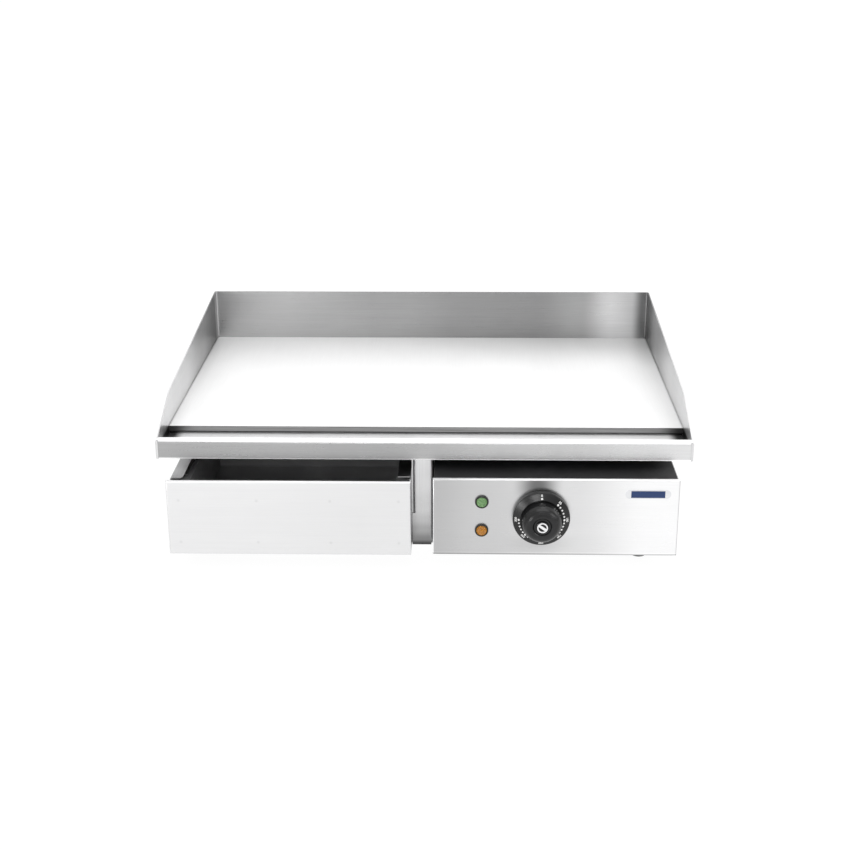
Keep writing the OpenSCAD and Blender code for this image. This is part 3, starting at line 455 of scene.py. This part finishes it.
def panel_shade(m):
    """Control panel: painted light, brighter to the right and on its left and top folds, darker on its
    right fold, a painted dark-and-bright line at its foot, and painted reflections of the knob
    darkening it above and below the knob.
    """
    # Painted light: brighter to the right
    x = ramp(m, m.axis("X"), ((0.010, 0.72), (0.06, 0.85), (0.15, 1.06), (0.23, 1.36)))
    dx = m.math("SUBTRACT", m.axis("X"), KNOB.x)
    dz = m.math("SUBTRACT", m.axis("Z"), KNOB.z)
    # Painted reflections of the knob, kept off the up-facing top fold
    knob_reflection = 1.0
    for cx, cz, wide, tall, depth in KNOB_REFLECTIONS:
        u = m.math("DIVIDE", m.math("SUBTRACT", dx, cx), wide)
        v = m.math("DIVIDE", m.math("SUBTRACT", dz, cz), tall)
        far = m.math("SQRT", m.math("ADD", m.math("MULTIPLY", u, u), m.math("MULTIPLY", v, v)))
        knob_reflection = m.math("MULTIPLY", knob_reflection, m.math("SUBTRACT", 1.0, m.span(far, 0.1, 1.25, depth, 0.0)))
    z0 = lo("control_panel").z
    # Painted dark line along the foot with a painted highlight just above it
    foot = ramp(m, m.axis("Z"), ((z0, 0.62), (z0 + 0.0017, 0.70), (z0 + 0.0025, 1.14),
                                 (z0 + 0.0038, 1.0)))
    knob_reflection = m.math("MAXIMUM", knob_reflection, m.span(m.normal_axis("Z"), 0.15, 0.5))
    # Painted highlight on the left and top folds, painted shade on the right fold
    fold_light = m.math("MULTIPLY",
                 ramp(m, m.normal_axis("X"), ((-0.7, 2.0), (-0.2, 1.0), (0.2, 1.0), (0.7, 0.62))),
                 m.span(m.normal_axis("Z"), 0.2, 0.7, 1.0, 1.35))
    return m.math("MULTIPLY", m.math("MULTIPLY", fold_light, foot), m.math("MULTIPLY", x, knob_reflection))


steel_plate = plate_material()
steel_guard = steel("guard_brushed", 0.42, 0.30, "X", 0.06, shade=guard_shade)
steel_side = steel("side_guard_brushed", 0.72, 0.32, "Y", 0.06, shade=side_shade)
steel_trough = steel("trough_brushed", 0.42, 0.28, "X", 0.05, bump=0.1, shade=trough_shade,
                     bare=trough_bare)
steel_body = steel("body_brushed", 0.42, 0.32, "Y", 0.10, grain=700.0)
steel_strip = steel("strip_brushed", 0.71, 0.30, "Z", 0.06, shade=strip_shade)
steel_divider = steel("divider_brushed", 0.85, 0.34, "Z", 0.06, shade=divider_shade)
steel_back = steel("back_brushed", 0.60, 0.32, "X", 0.06)
steel_drawer = steel("drawer_brushed", 0.775, 0.40, "X", 0.02, bump=0.1, blotch=0.012, shade=weld_dots_and_highlight)
steel_panel = steel("panel_brushed", 0.68, 0.30, "X", 0.022, grain=2400.0, blotch=0.02,
                    shade=panel_shade)
steel_zinc = steel("zinc_dull", 0.55, 0.42, "X", 0.05, grain=400.0, blotch=0.12)
steel_bolt = steel("fastener_bright", 0.6, 0.3, "Z", 0.06)
# The control cover is near-black: painted shade, standing for the dark gap under the trough that its
# steel top reflects
cover_painted_shade = coated("cover_black_painted_shade", (0.010, 0.010, 0.011), 0.5, spec=0.2)
dark_tray = coated("tray_coated_dark", (0.30, 0.30, 0.305), 0.38, 0.5, worn=1.08)
knob_black = turned("knob_satin_black", (0.006, 0.006, 0.0065))
bezel_black = plastic("bezel_black", (0.010, 0.010, 0.009), 0.3)
rubber_black = plastic("foot_rubber", (0.012, 0.012, 0.012), 0.7, 900.0, 0.4, 0.3, 0.3)
gland_black = plastic("gland_nylon", (0.02, 0.02, 0.021), 0.45)
white_plastic = plastic("lamp_white", (0.8, 0.8, 0.78), 0.4)
ceramic_white = plastic("steatite", (0.78, 0.76, 0.70), 0.55, 1200.0, 0.3, 0.05)
wool = plastic("mineral_mat", (0.72, 0.70, 0.62), 0.95, 500.0, 0.9, 0.15, 0.1)
sheath = coated("element_sheath", (0.05, 0.052, 0.048), 0.5, 0.8)
copper = steel("copper_dull", 0.6, 0.35, "X", 0.08, tint=(1.0, 0.62, 0.42))
red_gloss = plastic("button_red", (0.62, 0.02, 0.02), 0.2, coat=0.5)
lead_red = plastic("lead_red", (0.45, 0.04, 0.03), 0.5)
lead_blue = plastic("lead_blue", (0.03, 0.06, 0.28), 0.5)
lead_brown = plastic("lead_brown", (0.14, 0.06, 0.03), 0.5)
cap_silver = cap_material()
badge_blue = badge_material()
mark_white = plastic("dial_mark_white", (0.85, 0.85, 0.84), 0.5)
lens_green = lens("lens_green", (0.26, 0.45, 0.20), (0.09, 0.22, 0.07), 0.14)
lens_amber = lens("lens_amber", (0.61, 0.27, 0.02), (0.34, 0.13, 0.01), 0.14)

LOOKS = {
    "griddle_plate": steel_plate, "back_guard": steel_guard, "left_guard": steel_side,
    "right_guard": steel_side, "grease_trough": steel_trough, "drain_spout": steel_trough,
    "heating_element_front": sheath, "heating_element_rear": sheath,
    "element_terminals": ceramic_white, "clamp_bars": steel_zinc, "plate_studs": steel_bolt,
    "clamp_nuts": steel_bolt, "insulation_mat": wool, "element_cover": steel_zinc,
    "cover_nuts": steel_bolt, "mounting_studs": steel_bolt, "mounting_spacers": steel_bolt,
    "mounting_nuts": steel_bolt, "body_side_left": steel_body, "body_side_right": steel_body,
    "body_base": steel_back, "back_panel": steel_back, "centre_panel": steel_strip,
    "bay_divider": steel_divider, "drawer_runner_left": steel_zinc, "drawer_runner_right": steel_zinc,
    "drawer_tray": dark_tray, "drawer_front": steel_drawer, "control_panel": steel_panel,
    "control_shell": steel_body, "control_cover": cover_painted_shade, "name_badge": badge_blue,
    "thermostat_case": steel_zinc, "thermostat_switch": ceramic_white,
    "thermostat_screws": steel_bolt, "thermostat_capillary": copper, "thermostat_shaft": steel_bolt,
    "knob": knob_black, "knob_insert": cap_silver, "lamp_bezels": bezel_black,
    "power_lamp_lens": lens_green, "heating_lamp_lens": lens_amber, "lamp_holders": white_plastic,
    "lamp_clips": steel_bolt, "cutout_case": ceramic_white, "cutout_collar_nut": steel_bolt,
    "cutout_capillary": copper, "reset_button": red_gloss, "bulb_clips": steel_zinc,
    "terminal_block": ceramic_white, "element_leads": lead_red, "control_leads": lead_blue,
    "supply_leads": lead_brown, "gland_body": gland_black, "gland_cap": gland_black,
    "gland_nut": gland_black, "rubber_feet": rubber_black, "foot_screws": steel_bolt,
    "body_screws": steel_bolt, "control_screws": steel_bolt,
}
for name, look in LOOKS.items():
    obj = NODES[name]
    obj.data.materials.clear()
    obj.data.materials.append(look)

# Edges of sheet and plate are slightly rounded, so they catch the light
ROUNDED = {
    "griddle_plate": 0.4, "back_guard": 0.25, "left_guard": 0.25, "right_guard": 0.25,
    "grease_trough": 0.3, "control_panel": 0.2, "drawer_front": 0.2, "drawer_tray": 0.35,
    "control_cover": 0.3, "centre_panel": 0.25, "body_side_left": 0.35, "body_side_right": 0.35,
    "bay_divider": 0.3, "element_cover": 0.3,
    "name_badge": 0.2, "knob_insert": 0.25, "drawer_runner_left": 0.2, "drawer_runner_right": 0.2,
}
for name, width in ROUNDED.items():
    obj = NODES[name]
    weld = obj.modifiers.new("weld", "WELD")
    weld.merge_threshold = 0.00001
    bev = obj.modifiers.new("edge", "BEVEL")
    bev.width = width * MM
    bev.segments = 2
    bev.limit_method = "ANGLE"
    bev.angle_limit = math.radians(40)
    bev.harden_normals = False
    bev.use_clamp_overlap = True


# ---------------------------------------------------------------- dial marks

def new_mesh(name, verts, faces, material, body):
    me = bpy.data.meshes.new(name)
    me.from_pydata(verts, [], faces)
    me.materials.append(material)
    ob = bpy.data.objects.new(name, me)
    bpy.context.collection.objects.link(ob)
    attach(ob, body)


# Heights of the dial's conical face, found on the CAD knob: (radius, distance from the panel)
RIM_R = (hi("knob").x - lo("knob").x) / 2
KNOB_H = PANEL_Y - lo("knob_insert").y
CONE = ((RIM_R - 1.2 * MM, KNOB_H - 22 * MM), (RIM_R - 7.5 * MM, KNOB_H - 19.4 * MM))


def cone_frame(angle, radius):
    """A frame on the dial's cone: x along the rim, y outward and down the slope, z out of it."""
    (r0, h0), (r1, h1) = CONE
    h = h0 + (h1 - h0) * (r0 - radius) / (r0 - r1)
    a = math.radians(angle)
    out = Vector((math.sin(a), 0, math.cos(a)))
    run = (out * (r0 - r1) + Vector((0, h1 - h0, 0))).normalized()
    side = Vector((math.cos(a), 0, -math.sin(a)))
    up = side.cross(run).normalized()
    place = Vector((KNOB.x, PANEL_Y - h, KNOB.z)) + out * radius
    m = Matrix((side, run, up)).transposed().to_4x4()
    m.translation = place
    return m


def dial_dot(name, angle, radius, r):
    m = cone_frame(angle, radius)
    n = 14
    verts, faces = [], []
    for ring, (k, h) in enumerate(((1.0, 0.0), (0.8, 0.06 * MM), (0.0, 0.09 * MM))):
        if k == 0:
            verts.append(m @ Vector((0, 0, h)))
        else:
            for i in range(n):
                t = 2 * math.pi * i / n
                verts.append(m @ Vector((k * r * math.cos(t), k * r * math.sin(t), h)))
    for i in range(n):
        j = (i + 1) % n
        faces.append((i, j, n + j, n + i))
        faces.append((n + i, n + j, 2 * n))
    new_mesh(name, verts, faces, mark_white, "dial")


# Seven numbered marks; small ones nine degrees apart, none between the first two numbers
for angle in range(0, 271, NUMBER_STEP):
    dial_dot("dial_dot_large_%d" % angle, angle, DOT_RING, LARGE_DOT)
for angle in range(54, 270, 9):
    if angle % NUMBER_STEP:
        dial_dot("dial_dot_small_%d" % angle, angle, DOT_RING, SMALL_DOT)


def dial_number(text, angle):
    curve = bpy.data.curves.new("dial_number_" + text, "FONT")
    curve.body = text
    curve.size = NUMBER_SIZE
    curve.align_x = "CENTER"
    curve.align_y = "CENTER"
    curve.extrude = 0.05 * MM
    curve.offset = 0.08 * MM
    curve.resolution_u = 3
    curve.materials.append(mark_white)
    ob = bpy.data.objects.new("dial_number_" + text, curve)
    bpy.context.collection.objects.link(ob)
    ob.matrix_world = cone_frame(angle, NUMBER_RING)
    bpy.context.view_layer.update()
    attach(ob, "dial")


for step in range(7):
    dial_number(str(50 * step), NUMBER_STEP * step)


# ---------------------------------------------------------------- stage, light and camera

def floor_material():
    m = Mat("floor_pale")
    cloud = m.noise(m.mapped((3, 3, 3)), 2.0, 0.5)
    m.put(m.bsdf, "Base Color", m.mix(cloud, (0.07, 0.07, 0.07, 1), (0.08, 0.08, 0.08, 1)))
    m.set(Roughness=0.9, Emission_Color=(1, 1, 1, 1), Emission_Strength=0.96)
    m.bsdf.inputs["Specular IOR Level"].default_value = 0.0
    return m.m


bpy.ops.mesh.primitive_plane_add(size=FLOOR_SIZE, location=(0, 0, -FLOOR_DROP))
floor = bpy.context.object
floor.name = "floor"
floor.data.materials.append(floor_material())


def area(name, place, target, size, power):
    """A large soft box aimed at a point."""
    data = bpy.data.lights.new(name, "AREA")
    data.shape = "RECTANGLE"
    data.size, data.size_y = size
    data.energy = power
    ob = bpy.data.objects.new(name, data)
    bpy.context.collection.objects.link(ob)
    ob.location = place
    ob.rotation_euler = (Vector(target) - Vector(place)).to_track_quat("-Z", "Y").to_euler()


area("top_soft", (0.2, -0.2, 2.0), (0, 0, 0.1), (1.8, 1.4), 9)
area("right_soft", (1.7, -1.2, 1.0), (0.1, 0, 0.1), (1.0, 1.0), 7)
area("left_front_soft", (-1.1, -1.8, 0.25), (0.1, -0.2, 0.06), (0.45, 0.45), 5)
area("front_soft", (-0.15, -2.3, 0.85), (0.1, -0.2, 0.06), (0.6, 0.35), 4)

scene = bpy.context.scene
world = bpy.data.worlds.new("studio")
scene.world = world
world.use_nodes = True
wt = world.node_tree
bg = wt.nodes["Background"]
wtc = wt.nodes.new("ShaderNodeTexCoord")
sep = wt.nodes.new("ShaderNodeSeparateXYZ")
sky = wt.nodes.new("ShaderNodeValToRGB")
wt.links.new(wtc.outputs["Generated"], sep.inputs[0])
wt.links.new(sep.outputs["Z"], sky.inputs[0])
stops = ((0.0, 0.62), (0.12, 0.74), (0.4, 0.92), (1.0, 1.0))
sky.color_ramp.elements[0].position, sky.color_ramp.elements[1].position = stops[0][0], stops[-1][0]
for pos, _ in stops[1:-1]:
    sky.color_ramp.elements.new(pos)
for element, (_, v) in zip(sky.color_ramp.elements, stops):
    element.color = (v, v, v, 1)
# a bright wall of soft boxes stands behind the object
wall = wt.nodes.new("ShaderNodeMapRange")
wall.interpolation_type = "SMOOTHSTEP"
for key, v in (("From Min", 0.25), ("From Max", 0.8), ("To Min", 0.0), ("To Max", 0.75)):
    wall.inputs[key].default_value = v
wt.links.new(sep.outputs["Y"], wall.inputs["Value"])
total = wt.nodes.new("ShaderNodeMix")
total.data_type = "RGBA"
total.blend_type = "ADD"
total.inputs[0].default_value = 1.0
wt.links.new(sky.outputs[0], total.inputs[MIX_A])
wt.links.new(wall.outputs[0], total.inputs[MIX_B])
wt.links.new(total.outputs[MIX_OUT], bg.inputs[0])
bg.inputs[1].default_value = 0.88

cam_data = bpy.data.cameras.new("camera")
cam = bpy.data.objects.new("camera", cam_data)
bpy.context.collection.objects.link(cam)
scene.camera = cam
cam_data.sensor_width = SENSOR_MM
cam_data.lens = FOCAL_PX / PHOTO_PX * SENSOR_MM
cam_data.clip_start = 0.05
cam_data.clip_end = 60
place = Vector((CAMERA_RIGHT, FASCIA_Y - CAMERA_AHEAD, PLATE_TOP + CAMERA_ABOVE))
turn = (Matrix.Rotation(CAMERA_YAW, 4, "Z") @ Matrix.Rotation(math.pi / 2 - CAMERA_PITCH, 4, "X")
        @ Matrix.Rotation(CAMERA_ROLL, 4, "Z"))
cam.matrix_world = Matrix.Translation(place) @ turn

scene.view_settings.view_transform = "Standard"
scene.view_settings.look = "None"
